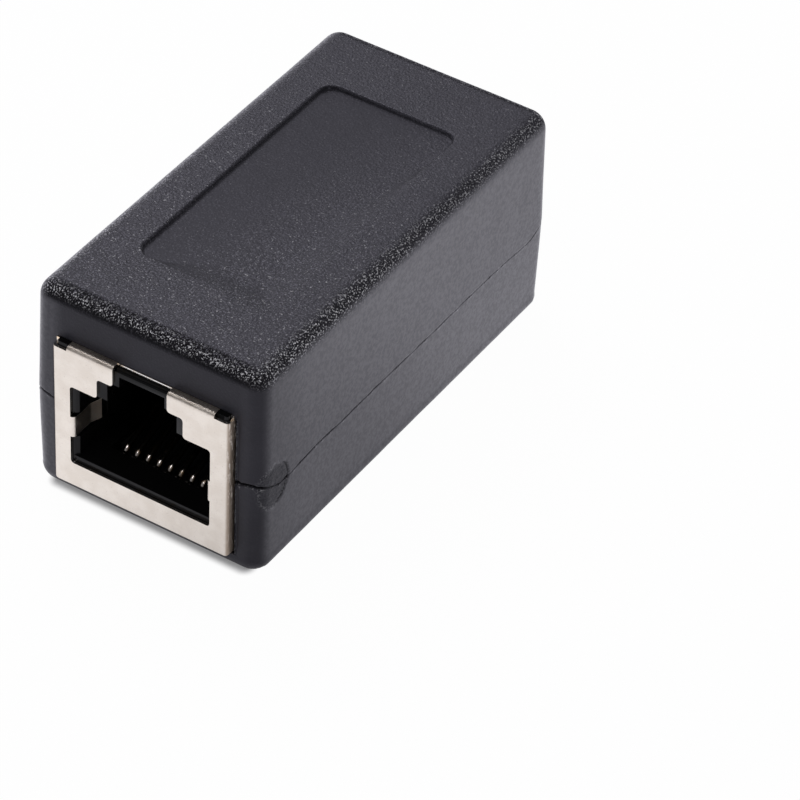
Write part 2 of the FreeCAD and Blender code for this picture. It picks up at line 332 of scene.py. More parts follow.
def housingSurface():
    # a closed tube: end face, rounded edge, side, rounded edge, end face, and back past the jacks. Each ring
    # is a rounded rectangle in XZ; returns points, outward directions and a row mark, which is 1 on the
    # outside, 1 to 2 across an end face and 0 inside
    h = housing
    edge, corner = h["edgeRound"], h["cornerRound"]
    halfX, halfY = bodyHigh[0], bodyHigh[1]
    lowZ, highZ = bodyLow[2], bodyHigh[2]
    z0, z1, x0 = lowZ + corner, highZ - corner, halfX - corner
    y0 = halfY - edge
    seam = h["partingZ"]
    upper = np.array([0.035, 0.07, 0.1, 0.14, 0.2, 0.3, 0.6])
    fine = seam + np.concatenate([-upper[::-1], [0], upper])
    upright = gather(steps(z0, z1, 0.4), steps(6.0, 10.4, 0.16), fine)
    clear = np.abs(upright - seam) >= upper[-1]       # nothing but the fine rows close to the parting line
    upright = upright[clear | np.isin(upright.round(6), fine.round(6))]
    hx, hy = h["recessHalf"]
    wallSteps = np.array([-0.4, -0.24, -0.16, -0.12, -0.08, -0.04, 0, 0.05, 0.14, 0.3])
    within, beyond = 1.45, wallSteps[-1]              # reach of the close rows from the recess's outline
    wallX, wallY = (gather(half + wallSteps, steps(half - within, half - 0.4, 0.12)) for half in (hx, hy))
    across = gather(steps(-x0, -hx - beyond, 0.3), -wallX, steps(-hx + within, hx - within, 0.3), wallX,
                    steps(hx + beyond, x0, 0.3))
    sides = [(upright - z0) / (z1 - z0), (across + x0) / (2 * x0),
             1 - (upright[::-1] - z0) / (z1 - z0), steps(0, 1, 0.05)]
    seamHere = (seam - z0) / (z1 - z0)
    turns = np.linspace(0, np.pi / 2, 9)[1:-1]
    core, normals = roundedLoop(halfX - edge, lowZ + edge, highZ - edge, corner - edge, sides, turns)

    nearEnd = -y0 + 3.2
    along = gather(steps(-y0, nearEnd, 0.16), steps(nearEnd, -hy - beyond, 0.3), -wallY,
                   steps(-hy + within, hy - within, 0.4), wallY, steps(hy + beyond, y0, 0.4))
    lean = np.linspace(-np.pi / 2, 0, 10)

    def outer(y, angle):
        # the core loop pushed out by the edge radius, leaning towards the end faces by angle
        ring = ringAt(core + edge * np.cos(angle) * normals, y + edge * np.sin(angle))
        return ring, ringAt(normals * np.cos(angle), np.sin(angle))

    straight = h["portTop"] - shieldLow[2] - 2 * h["portRound"]
    portSide = (seam - shieldLow[2] - h["portRound"]) / straight
    portSides = [portFractions(sides[0], seamHere, portSide), sides[1],
                 1 - portFractions(1 - sides[2], seamHere, portSide), sides[3]]
    gap, bend = h["gap"], h["portRound"]
    portHalf, portLow = h["portHalf"] + gap, shieldLow[2] - gap
    port, portNormals = roundedLoop(portHalf, portLow, h["portTop"] + gap, bend, portSides, turns)
    room = roundedLoop(portHalf, portLow, boardHigh[2] + gap, bend, portSides, turns)[0]
    throat = [(port, halfY - depth) for depth in (0.25, 0.8, 1.6)] + [(room, boardHigh[1] + gap)]
    inside = -ringAt(portNormals, 0.0)
    inward = np.concatenate([steps(0, 0.7, 0.1)[1:], steps(0.73, 0.91, 0.03), [0.94, 0.96, 0.98, 0.99, 1.0]])

    rows = []                      # each row: points, outward directions, share of draft across X, row mark
    for sign in (-1, 1):
        part = [outer(sign * y0, sign * -angle) + (1.0, 1.0) for angle in lean[::-1][1:]]
        rim, rimFacing = part[-1][:2]
        for t in inward:
            part.append((rim * (1 - t) + ringAt(port, rim[:, 1]) * t, rimFacing, 1 - t, 1.0 + t))
        for loop, reach in throat:
            part.append((ringAt(loop, sign * reach), inside, 0.0, 0.0))
        rows.append(part)
    middle = [outer(y, 0.0) + (1.0, 1.0) for y in along]
    rows = rows[0][::-1] + middle + rows[1]

    points = np.array([row[0] for row in rows])
    facing = np.array([row[1] for row in rows])
    drafted = np.array([row[2] for row in rows])[:, None]
    shell = np.array([row[3] for row in rows])[:, None]
    rise = np.abs(points[..., 2] - seam) * h["draft"]
    outside = shell > 0
    points[..., 1] *= np.where(outside, 1 - rise / halfY, 1.0)
    points[..., 0] *= 1 - rise / halfX * drafted
    off = points[..., 2] - seam
    near = np.cos(np.clip(off / h["seamReach"], -1, 1) * np.pi / 2) ** 2
    points[..., 2] += (seamHeight(points) - seam) * near * (np.abs(facing[..., 2]) < 0.5)
    return points, facing, shell


def seamHeight(points):
    # height of the parting line at a place on the walls
    distance, height = np.transpose(housing["seamPath"])
    return np.interp(np.abs(points[..., 1]) + bodyHigh[0] - np.abs(points[..., 0]), distance, height)


def partingLine(points, facing, outside):
    # a groove, which is a hill turned inwards whose depth and width wander, broken flash along its lower
    # side, and a slight step between the mould halves; it opens into a crack at the right-hand front corner.
    # Returns the lift, the groove, the flash, and how far the line swings up or down
    h = housing
    x, y, z = axes(points)
    outX, outY, outZ = axes(np.abs(facing))
    place = np.where(outX > outY, y, x + 40)       # along the side, or along the end
    off = z - seamHeight(points)
    near = (np.abs(off) < h["seamBand"]) & (outZ < 0.5) & outside
    distance = np.abs(y) + bodyHigh[0] - np.abs(x)
    crack = smoothStep(*h["crackFrom"], distance) * (x > 0) * (y < 0)
    mouth = 1.2 * smoothStep(22.3, 22.9, distance) * crack
    faint = 1 - 0.6 * smoothStep(-16, 8, y) * (np.abs(x) > 9.5)
    deep = h["seamDepth"] * faint * (0.75 + 0.5 * wander(place, 3.3, 3) + 1.1 * crack)
    half = h["seamHalf"] * (1 + 0.25 * wander(place, 1.7, 4) + 0.35 * crack + mouth)
    groove = hill(off, 0, half) * np.maximum(deep, 0.02) * near
    flash = np.clip(wander(place, 0.9, 31) * (1 + 2 * crack) - 0.1, 0, 1)
    flash = flash * hill(off, -1.9 * half, 0.08) * near
    step = h["mismatch"] * (off < 0) * near * np.clip(h["seamBand"] - np.abs(off), 0, 1)
    jagged = h["crackJag"] * crack * wander(distance, 0.75, 23)
    swing = (h["seamWander"] * wander(place, 11.0, 17) + jagged) * hill(off, 0, 0.5) * near
    return h["flashHigh"] * flash - groove - step, groove, flash, swing


def gateScar(points, outside):
    # a shallow round patch on the wall by the right-hand front corner, rough inside, with a raised rim torn
    # on one side; along and rise are distances from its middle, along being wrapped round the corner
    h = housing
    cx, cy, cz = h["scarCentre"]
    x, y, z = axes(points)
    along, rise = (y - cy) - np.maximum(0, cx - x) * 0.9, z - cz
    ring = np.hypot(along / h["scarHalf"][0], rise / h["scarHalf"][1])
    ring += 0.06 * wanderOver(along, rise, 1.6, 5)
    turn = np.arctan2(rise, along)
    onWall = smoothStep(8.6, 9.0, x) * (y < -14) * outside
    inside = (1 - smoothStep(0.82, 1.0, ring)) * onWall
    rim = hill(ring, 1.0, 0.09) * onWall
    torn = hill(ring, 0.98, 0.06) * smoothStep(0.1, 0.6, np.cos(turn + 0.25)) * onWall
    lift = inside * (0.06 * wanderOver(along, rise, 1.1, 8) - h["scarDepth"])
    lift += 0.05 * rim * (0.5 + 0.5 * wander(turn * 3, 4.0, 9)) - 0.1 * torn
    return lift, inside, rim, torn


def shutOffLip(points, shell, endFace):
    # where the plastic shut off against the shield: beside it the wall sinks behind a ragged bead, over its
    # top it stands slightly proud. Returns the lift, the bead's light crumbs, and the gap at the shield,
    # which the finish paints black as shade
    h = housing
    x, y, z = axes(points)
    high = smoothStep(h["portTop"] - 0.7, h["portTop"] - 0.3, z)
    overTop, beside = high * endFace, (1 - high) * endFace
    ragged = 0.5 + 0.5 * wander(x + 2.3 * z, 1.9, 21)
    sunk = np.interp(z, *np.transpose(h["shutOff"])) + 0.05 * ragged
    bead = hill(shell, *h["bead"]) * beside
    lift = h["lipHigh"] * overTop * np.clip((shell - 1.9) / 0.1, 0, 1)
    lift = lift - sunk * smoothStep(*h["sunkFrom"], shell) * beside
    lift += bead * h["beadHigh"] * (0.4 + 0.6 * ragged)
    lift -= h["dipDeep"] * hill(shell, *h["dip"]) * beside
    return lift, 0.8 * bead * ragged, smoothStep(*h["gapFrom"], shell) * beside


def moulded(points, facing, shell):
    # pushes the plain surface in and out along its outward directions: label recess, tighter lower edges,
    # sink, parting line, gate scar and shut-off lip. Returns the new points, and marks for the finish
    h = housing
    x, y, z = axes(points)
    outX, outY, outZ = axes(facing)
    outside = shell > 0
    level = (outZ > 0.9) * outside
    side = smoothStep(0.7, 1.0, np.abs(outX)) * outside
    lift = -h["recessDepth"] * recessShape(x, y, *h["recessWall"]) * level

    # the lower edges are tighter than the upper ones, most of all along the sides
    tight = (np.hypot(outX, outY) + np.abs(outZ) - 1) * (outZ < 0) * outside
    lift += (h["underFront"] + h["underSide"] * side) * tight
    sinkSide = (1 - (y / 20.5) ** 2) * np.clip(1 - ((z - 9.6) / 8) ** 2, 0, 1)
    sinkTop = np.clip(1 - (x / 9) ** 2, 0, 1) * np.clip(1 - (y / 19) ** 2, 0, 1)
    lift -= h["sink"] * (sinkSide * side + 0.6 * sinkTop * np.clip(outZ, 0, 1) ** 4 * outside)
    lift += h["wave"] * (wanderOver(y + 0.3 * x, z + 0.6 * x, 9.0, 11) - 1) * outside

    seamLift, groove, flash, swing = partingLine(points, facing, outside)
    scarLift, scar, rim, torn = gateScar(points, outside)
    lipLift, crumbs, gap = shutOffLip(points, shell, np.abs(outY) > 0.9)
    shifted = points + facing * (lift + seamLift + scarLift + lipLift)[..., None]
    shifted[..., 2] = np.maximum(shifted[..., 2] + swing, bodyLow[2])      # nothing below the footprint

    steep, (halfX, halfY) = h["recessWall"][0], h["recessHalf"]
    rubbed = 1 - 0.85 * smoothStep(-0.5, 0.8, 0.9 * x / halfX - 0.3 * y / halfY)
    # the seam mark (the parting line's groove and the scar's torn edge) and the gap mark are painted black
    # as shade in the finish
    marks = {"recess": recessShape(x, y, steep, steep) * level * rubbed, "scar": scar, "scarRim": rim,
             "seam": np.clip(groove / h["seamDepth"], 0, 1.5) + torn, "gap": gap,
             "flash": np.maximum(flash, crumbs)}
    return shifted, marks


def grainMarks(points, facing, shell):
    # where the finish is grained, glossy, sprinkled with painted glints or darkened with painted shade, by
    # the way that the surface faces. The end edges turn dark at once with painted shade and carry painted
    # glint specks half way down; along the side edges painted glint specks and painted dark ground lie
    # together and thin out towards the back
    x, y, z = axes(points)
    outX, outY, outZ = axes(facing)
    outside = shell > 0
    top = np.clip(outZ, 0, 1)
    bend = np.clip(np.minimum(top, np.sqrt(np.clip(1 - top ** 2, 0, 1))) * 1.6, 0, 1)
    ahead, across = np.abs(outY), np.abs(outX)
    gloss = smoothStep(0.8, 1.0, across) * (0.64 + 0.38 * smoothStep(-19.6, -13.5, y))
    gloss = np.maximum(gloss, smoothStep(0.1, 0.6, -outX) * (outZ > -0.1))
    gloss = np.maximum(gloss, np.interp(-x, (7.6, 8.6), (0, 0.6)) * (outY < -0.9) * (top < 0.3))

    share = ahead / np.maximum(ahead + across, 1e-6)
    atFront, atBack = housing["sparkle"]
    along = bend * (atBack + (atFront - atBack) * smoothStep(10, -19, y))
    along = np.clip((along - 0.15) / 0.65, 0, 1)
    # where painted glint specks lie on the end edges
    paintedGlintBand = smoothStep(0.42, 0.66, top) * (1 - smoothStep(0.96, 0.997, top))
    paintedGlintBand *= 1 - 0.7 * smoothStep(0.8, 0.93, top)
    # painted shade: dark ground below the top edges, and a little on the front face above the shield
    paintedDarkGround = (1 - smoothStep(0.982, 0.9995, top)) * (0.76 + 0.04 * (1 - smoothStep(0.45, 0.68, top)))
    paintedDarkGround = np.maximum(paintedDarkGround * smoothStep(0.0, 0.36, top), 0.05 * (np.abs(x) < 8.4) * (z > 14))
    return {"topGrain": top, "bendGrain": bend * outside, "sideGloss": gloss,
            "sparkle": (paintedGlintBand * share + along * (1 - share)) * outside,
            "shade": (paintedDarkGround * share + 0.58 * along * (1 - share)) * outside}


def makeHousing(finish):
    points, facing, shell = housingSurface()
    shaped, marks = moulded(points, facing, shell)
    marks.update(grainMarks(points, facing, shell))
    rows, columns = shaped.shape[:2]
    marks = {name: np.broadcast_to(value, (rows, columns)) for name, value in marks.items()}
    faces = gridFaces(rows, columns, wrapRows=True, wrapColumns=True)
    piece = meshPiece("housing", shaped.reshape(-1, 3), faces[:, ::-1], marks)
    print("housing", len(faces), "quads")
    return fit(piece, "moulding", "moulded_body", finish)


# shields
shield = {
    "half": 8.0, "low": 1.65, "high": 15.3, "face": -21.2, "back": -0.2, "sheet": 0.25, "fold": 0.35,
    "sill": 4.08, "shoulder": 11.63, "notch": 13.48, "corner": 0.3, "edgeRound": 0.07,
    "windowHalf": 6.39, "shoulderHalf": 3.91, "notchHalf": 2.46,
    "notchBack": -20.5, "tabHalf": 6.68, "flangeBack": -15.7, "reliefTop": 14.93,
    "fingerLow": 6.66, "fingerHigh": 8.61, "fingerLength": 3.4, "fingerBend": 0.34,
    "fingerOut": 1.0, "fingerKnee": 2.35, "fingerIn": 20.0,
}


def fingerPath(s):
    # the finger's cavity side in XY, by distance s from the window's edge. Its heading turns a quarter
    # circle from inwards to backwards, leans out by a degree, and at its last bend leans back in
    f = shield
    run = np.linspace(0, f["fingerLength"], 400)
    bend = f["fingerBend"] * np.pi / 2
    lean = f["fingerOut"] * smoothStep(bend, bend + 0.4, run)
    knee = f["fingerIn"] * smoothStep(f["fingerKnee"] - 0.15, f["fingerKnee"] + 0.15, run)
    heading = np.radians(90 * np.clip(run / bend, 0, 1) + lean - knee)
    step = run[1] - run[0]
    x = f["windowHalf"] - np.cumsum(np.cos(heading)) * step
    y = f["face"] + np.cumsum(np.sin(heading)) * step
    return np.interp(s, run, x), np.interp(s, run, y)


def roundCorner(points, corner, first, second, radius):
    # squares to discs: inside the corner's square, a point at distance m from the far corner (by the larger
    # side) moves to the circle of radius m, so the sharp corner becomes an arc and the other two sides stay
    p, q = (points - corner) @ first, (points - corner) @ second
    inSquare = (p > -1e-6) & (p < radius + 1e-6) & (q > -1e-6) & (q < radius + 1e-6)
    a, b = radius - p, radius - q
    m = np.maximum(np.maximum(a, b), 1e-9)
    angle = np.where(a >= b, np.pi / 4 * b / m, np.pi / 2 - np.pi / 4 * a / m)
    centre = corner + radius * (first + second)
    moved = centre - m[:, None] * (np.cos(angle)[:, None] * first + np.sin(angle)[:, None] * second)
    return np.where(inSquare[:, None], moved, points)


def shieldBlank():
    # the flat sheet as a grid of cells, x across and z up the face, on over the top and under the bottom;
    # returns the flat places of the kept points, the quads, and which points are a finger's
    s = shield
    arc = s["fold"] * np.pi / 2
    foldX, foldLow, foldHigh = s["half"] - s["fold"], s["low"] + s["fold"], s["high"] - s["fold"]
    flankX = foldX + arc
    flankEnd = flankX + s["back"] - s["face"] - s["fold"]
    flangeEnd = foldHigh + arc + s["flangeBack"] - s["face"] - s["fold"]
    notchEnd = foldHigh + arc + s["notchBack"] - s["face"] - s["fold"]
    under = foldLow - arc
    rearFold = under - (s["back"] - s["face"] - 2 * s["fold"])
    rearEnd = rearFold - arc - (s["reliefTop"] - foldLow)
    c = s["corner"]
    around = np.linspace(-c, c, 9)           # close columns and rows round every corner of the window
    corners = [s[key] + around for key in ("windowHalf", "shoulderHalf", "notchHalf")]
    rises = [s[key] + around for key in ("sill", "shoulder", "notch")]
    bendLength = s["fingerBend"] * np.pi / 2
    fingerFold = steps(s["windowHalf"] - s["fingerLength"], s["windowHalf"] - bendLength, 0.15)
    fingerBend = np.linspace(s["windowHalf"] - bendLength, s["windowHalf"], 11)
    right = gather(0.0, steps(0.0, foldX, 0.5), *corners, s["tabHalf"], np.linspace(foldX, flankX, 7),
                   fingerFold, fingerBend, steps(flankX, flankX + 1.2, 0.3),
                   steps(flankX + 1.2, flankEnd, 2.5))
    across = gather(-right, right)
    up = gather(steps(foldLow, s["sill"] - c, 0.5), steps(s["sill"] + c, s["shoulder"] - c, 0.5), *rises,
                steps(s["shoulder"] + c, s["notch"] - c, 0.5), s["fingerLow"], s["fingerHigh"],
                np.linspace(foldHigh, foldHigh + arc, 7), s["reliefTop"], s["high"], notchEnd,
                steps(foldHigh + arc, flangeEnd, 1.0), np.linspace(under, foldLow, 7),
                steps(rearFold, under, 2.5), np.linspace(rearFold - arc, rearFold, 7),
                steps(rearEnd, rearFold - arc, 2.5))
    cx = np.abs((across[:-1] + across[1:]) / 2)[None, :]
    cz = ((up[:-1] + up[1:]) / 2)[:, None]
    face = (cx < flankX) & (cz > under) & (cz < s["reliefTop"])
    flank = (cx > flankX) & (cz > under) & (cz < np.where(cx < flankX + 0.3, s["reliefTop"], s["high"]))
    underside = (cx < flankX) & (cz > rearFold) & (cz < under)
    rear = (cx < foldX + 0.15) & (cz > rearEnd) & (cz < rearFold)
    flange = (cx < s["tabHalf"]) & (cz > foldHigh - 1) & (cz < flangeEnd)
    window = (cx < s["windowHalf"]) & (cz < s["shoulder"])
    window = window | (cx < s["shoulderHalf"]) & (cz < s["notch"]) | (cx < s["notchHalf"]) & (cz < notchEnd)
    window = window & (cz > s["sill"])
    finger = (cx > s["windowHalf"] - s["fingerLength"]) & (cx < s["windowHalf"])
    finger = finger & (cz > s["fingerLow"]) & (cz < s["fingerHigh"])
    kept = ((face | flank | underside | rear | flange) & ~window) | finger
    quads = gridFaces(up.size, across.size)[kept.ravel()]
    used, index = np.unique(quads, return_inverse=True)
    flat = np.stack([np.tile(across, up.size), np.repeat(up, across.size)], 1)[used]
    isFinger = np.abs(flat[:, 0]) < s["windowHalf"] - 1e-6
    isFinger &= (flat[:, 1] > s["fingerLow"] - 1e-6) & (flat[:, 1] < s["fingerHigh"] + 1e-6)
    for sign in (-1, 1):
        x = np.array([sign, 0.0])
        z = np.array([0.0, 1.0])
        for half, height, first, second in (
                (s["windowHalf"], s["sill"], -x, z), (s["windowHalf"], s["shoulder"], -x, -z),
                (s["shoulderHalf"], s["shoulder"], x, z), (s["shoulderHalf"], s["notch"], -x, -z),
                (s["notchHalf"], s["notch"], x, z)):
            flat = roundCorner(flat, np.array([sign * half, height]), first, second, s["corner"])
    return flat, index.reshape(-1, 4), isFinger


def folded(flat, isFinger):
    # wraps the blank: straight runs stay straight, each fold is a quarter circle of the fold's radius
    s = shield
    r = s["fold"]
    arc = r * np.pi / 2
    foldX, foldLow, foldHigh = s["half"] - r, s["low"] + r, s["high"] - r
    sign = np.where(flat[:, 0] < 0, -1.0, 1.0)
    fx, fz = np.abs(flat[:, 0]), flat[:, 1]
    out = np.clip((fx - foldX) / arc, 0, 1) * np.pi / 2
    over = np.clip((fz - foldHigh) / arc, 0, 1) * np.pi / 2
    down = np.clip((foldLow - fz) / arc, 0, 1) * np.pi / 2
    past = np.maximum(fx - foldX - arc, 0)
    over = over * (fx < s["tabHalf"] + 1e-6)

    # face, flanks and lower corners: one direction of bend at a time, the corner a part of a ball
    lean = np.maximum(out, down)
    spread = np.where(out >= down, np.pi / 4 * down / np.maximum(out, 1e-9),
                      np.pi / 2 - np.pi / 4 * out / np.maximum(down, 1e-9))
    x = np.minimum(fx, foldX) + r * np.sin(lean) * np.cos(spread) * (lean > 0)
    z = np.clip(fz, foldLow, None) - r * np.sin(lean) * np.sin(spread) * (lean > 0)
    y = s["face"] + r * (1 - np.cos(lean)) + past
    # top flange
    beyondTop = np.maximum(fz - foldHigh - arc, 0)
    z = np.where(over > 0, foldHigh + r * np.sin(over), z)
    y = np.where(over > 0, s["face"] + r * (1 - np.cos(over)) + beyondTop, y)
    # underside and rear
    run = np.clip(foldLow - arc - fz, 0, None)
    length = s["back"] - s["face"] - 2 * r
    y = np.where(run > 0, s["face"] + r + np.minimum(run, length), y)
    back = np.clip((run - length) / arc, 0, 1) * np.pi / 2
    climb = np.maximum(run - length - arc, 0)
    y = np.where(back > 0, s["back"] - r + r * np.sin(back), y)
    z = np.where(back > 0, s["low"] + r * (1 - np.cos(back)) + climb, z)
    # ground fingers
    fingerX, fingerY = fingerPath(s["windowHalf"] - fx)
    x = np.where(isFinger, fingerX, x)
    y = np.where(isFinger, fingerY, y)
    return np.stack([sign * x, y, z], 1)


def makeShield(name, node, turn, finishes):
    # finishes are for the sheet, its cut edges and their rounded rims; the modifiers name them by number
    flat, quads, isFinger = shieldBlank()
    points = folded(flat, isFinger)
    piece = meshPiece(name, turned(points) if turn else points, quads)
    thick = piece.modifiers.new("sheet", "SOLIDIFY")
    thick.thickness, thick.offset, thick.use_even_offset = shield["sheet"] * mm, -1.0, True
    thick.material_offset_rim = 1
    roundEdges(piece, shield["edgeRound"], 50, 2)
    print(name, len(quads), "quads")
    return fit(piece, "shield_metal", node, *finishes)


# contacts
contact = {
    "count": 8, "pitch": 1.016, "radius": 0.23, "bend": 0.87, "slope": math.radians(21.0), "lowZ": 2.97,
    "bendY": -17.23, "tipY": -8.25, "tailY": (-5.9, -3.36), "footBend": 0.5, "around": 20,
}


def contactLine(index):
    # the wire's centre line: down from the board, a small bend, along under the tongue, round its end and up
    c = contact
    x = (index - (c["count"] - 1) / 2) * c["pitch"]
    tail, low, foot = c["tailY"][index % 2], c["lowZ"], c["footBend"]
    turnZ = low + c["bend"]
    foots = np.linspace(0, np.pi / 2, 7)
    loops = np.linspace(0, np.pi - c["slope"], 25)
    y = np.concatenate([[tail], tail - foot * (1 - np.cos(foots)), c["bendY"] - c["bend"] * np.sin(loops)])
    z = np.concatenate([[boardHigh[2]], low + foot * (1 - np.sin(foots)), turnZ - c["bend"] * np.cos(loops)])
    run = np.linspace(0, c["tipY"] - y[-1], 9)[1:]
    y = np.concatenate([y, y[-1] + run])
    z = np.concatenate([z, z[-1] + run * math.tan(c["slope"])])
    return np.stack([np.full(y.size, x), y, z], 1)


def makeContact(name, node, index, turn, finish):
    # a circle carried along the line; its two directions are X and the normal of the line in the YZ plane
    line = contactLine(index)
    step = np.gradient(line, axis=0)
    step /= np.linalg.norm(step, axis=1)[:, None]
    sideways = np.array([1.0, 0.0, 0.0])
    normal = np.cross(step, sideways)
    around = np.linspace(0, 2 * np.pi, contact["around"], endpoint=False)
    across, upwards = np.cos(around)[None, :, None], np.sin(around)[None, :, None]
    points = line[:, None, :] + contact["radius"] * (across * sideways + upwards * normal[:, None, :])
    rows, columns = points.shape[:2]
    quads = gridFaces(rows, columns, wrapColumns=True)
    first, last = np.arange(columns), (rows - 1) * columns + np.arange(columns)
    faces = quads[:, ::-1].tolist() + [first.tolist(), last[::-1].tolist()]
    points = points.reshape(-1, 3)
    # where the finish paints a glint along the wire's crown
    paintedGlintCrown = np.tile(np.abs(np.sin(around)) ** 8, rows)
    piece = meshPiece(name, turned(points) if turn else points, faces, {"paintedGlintCrown": paintedGlintCrown})
    return fit(piece, "contact_gold", node, finish)


# port mouldings
insulator = {"frontY": 20.9, "underFlange": 15.0, "chamfer": 0.3, "edgeRound": 0.07}


def makePort(name, node, finish):
    # the node's own form, merged and with its flat faces joined; a broad chamfer on the front edge under the
    # flange, then every edge rounded
    shape = bmesh.new()
    shape.from_mesh(nodes[node].data)
    bmesh.ops.remove_doubles(shape, verts=shape.verts, dist=1e-6)
    bmesh.ops.dissolve_limit(shape, angle_limit=math.radians(1), verts=shape.verts, edges=shape.edges)
    front, underFlange, broad = (insulator[key] * mm for key in ("frontY", "underFlange", "chamfer"))
    lip = [edge for edge in shape.edges
           if all(abs(abs(v.co.y) - front) < 1e-5 and abs(v.co.z - underFlange) < 1e-5 for v in edge.verts)]
    bmesh.ops.bevel(shape, geom=lip, offset=broad, segments=3, profile=0.5, affect="EDGES")
    for face in shape.faces:
        face.smooth = True
    mesh = bpy.data.meshes.new(name)
    shape.to_mesh(mesh)
    shape.free()
    piece = stand(name, mesh)
    roundEdges(piece, insulator["edgeRound"], 35, -1)
    piece.data.materials.clear()
    return fit(piece, "insulator_plastic", node, finish)


# finishes
def mouldingFinish():
    # charcoal plastic with an eroded mould grain, finer on the top, coarser on the rounded edges. Height =
    # noise of 0.2 mm patches plus cells, times a depth that follows the surface. Colour = slow noise between
    # two greys, then in turn: the top painted paler towards the rear as light, a dark metallic ground
    # painted as shade on the edges, bright specks painted as glints where finer noises peak, light crumbs on
    # flash and scar, black painted as shade in the parting line's groove and the gap. The coat lies on the
    # sides, patchy, and thinner towards the front
    f = Finish("mouldedPlastic", IOR=1.5, Specular_IOR_Level=0.3, Specular_Tint=(0.89, 0.87, 1.0, 1.0),
               Coat_Roughness=0.36, Coat_Tint=(0.95, 0.94, 1.0, 1.0))
    top, bend, recess, side = map(f.mark, ("topGrain", "bendGrain", "recess", "sideGloss"))
    scar, rim, seam, flash, gap = map(f.mark, ("scar", "scarRim", "seam", "flash", "gap"))
    patches = f.noise(0.2, 2.0, 0.6)
    pits = f.cells(0.22)
    crumbs = f.noise(0.11, 2.0, 0.6)
    topShare = top.ramp(0.75, 0.98) * (1 - recess * 0.75)
    depth = 0.17 + topShare * 0.75 + bend * 1.4
    grain = (patches * 0.8 + pits * 0.35) * depth + crumbs * (0.05 + topShare * 0.2 + bend * 0.6)
    slow = f.noise(3.5, 3.0, 0.55)
    torn = f.noise(0.28, 4.0, 0.7) * (scar + flash)
    normal = f.bump(grain + torn * 1.6, 0.08, 1.0)
    ripple = f.noise(1.1, 2.0, 0.5)
    f.feed("Normal", f.bump(slow + ripple * 0.45, 0.07, 0.6, normal))
    cool = (1.02, 1, 1.2)
    shade = f.blend(slow.ramp(0.35, 0.65), grey(0.013, cool), grey(0.018, cool))
    edge, paintedDarkGround = f.mark("sparkle"), f.mark("shade")
    # painted light: the top's painted glint specks are strongest at the front, and the top is painted paler
    # towards the rear
    behind = f.add("ShaderNodeSeparateXYZ", {}, {0: f.place}, "Y").ramp(-0.019, 0.017)
    reach = 1.35 - behind * 0.95
    paintedSpeck = f.noise(0.14, 1.0).ramp(0.54, 0.68) * (topShare * reach + bend * 0.4 + 0.06)
    paintedTopGlint = f.noise(0.17, 1.0).ramp(0.68, 0.75) * topShare * reach
    paintedEdgeGlint = f.noise(0.125, 1.0, 0.6, stretch=(1.0, 0.7, 1.0)).ramp(0.52, 0.7) * edge
    # painted light: the top paler towards the rear
    shade = f.blend(behind * topShare, shade, grey(0.024, cool))
    # painted shade: a dark ground on the edges and, faintly, on the front face above the shield
    shade = f.blend(paintedDarkGround, shade, grey(0.003))
    # painted glints: bright specks over the top and the edges, brightest where the finer noises peak
    shade = f.blend(paintedSpeck, shade, grey(0.085, (1.02, 1, 1.15)))
    shade = f.blend(paintedTopGlint, shade, grey(0.3))
    shade = f.blend(paintedEdgeGlint, shade, grey(0.7))
    crumb = f.noise(0.16, 2.0).ramp(0.48, 0.6)
    crumb = crumb * (flash * 1.3 + scar * 0.06 + rim * 0.3).math("MINIMUM", 1.0)
    shade = f.blend(crumb, shade, grey(0.4))
    # painted shade: black in the parting line's groove, the scar's torn edge and the gap at the shield
    paintedGrooveShade = (seam * 0.9 + gap).math("MINIMUM", 1.0)
    f.feed("Base Color", f.blend(paintedGrooveShade, shade, grey(0.002)))
    rough = 0.4 + slow * 0.08 + recess * 0.1 + paintedDarkGround * 0.35 - paintedEdgeGlint * 0.3 + scar * 0.06 + paintedGrooveShade * 0.5
    f.feed("Roughness", rough.math("MINIMUM", 1.0))
    # metal on the painted dark ground keeps its painted shade dark
    f.feed("Metallic", paintedDarkGround * (1 - paintedEdgeGlint) * 0.75)
    grit = f.noise(0.3, 3.0, 0.65)
    f.feed("Coat Weight", side * (1 - paintedGrooveShade) * (1 - scar * 0.7) * (0.66 + grit.ramp(0.38, 0.62) * 0.36))
    return f.material


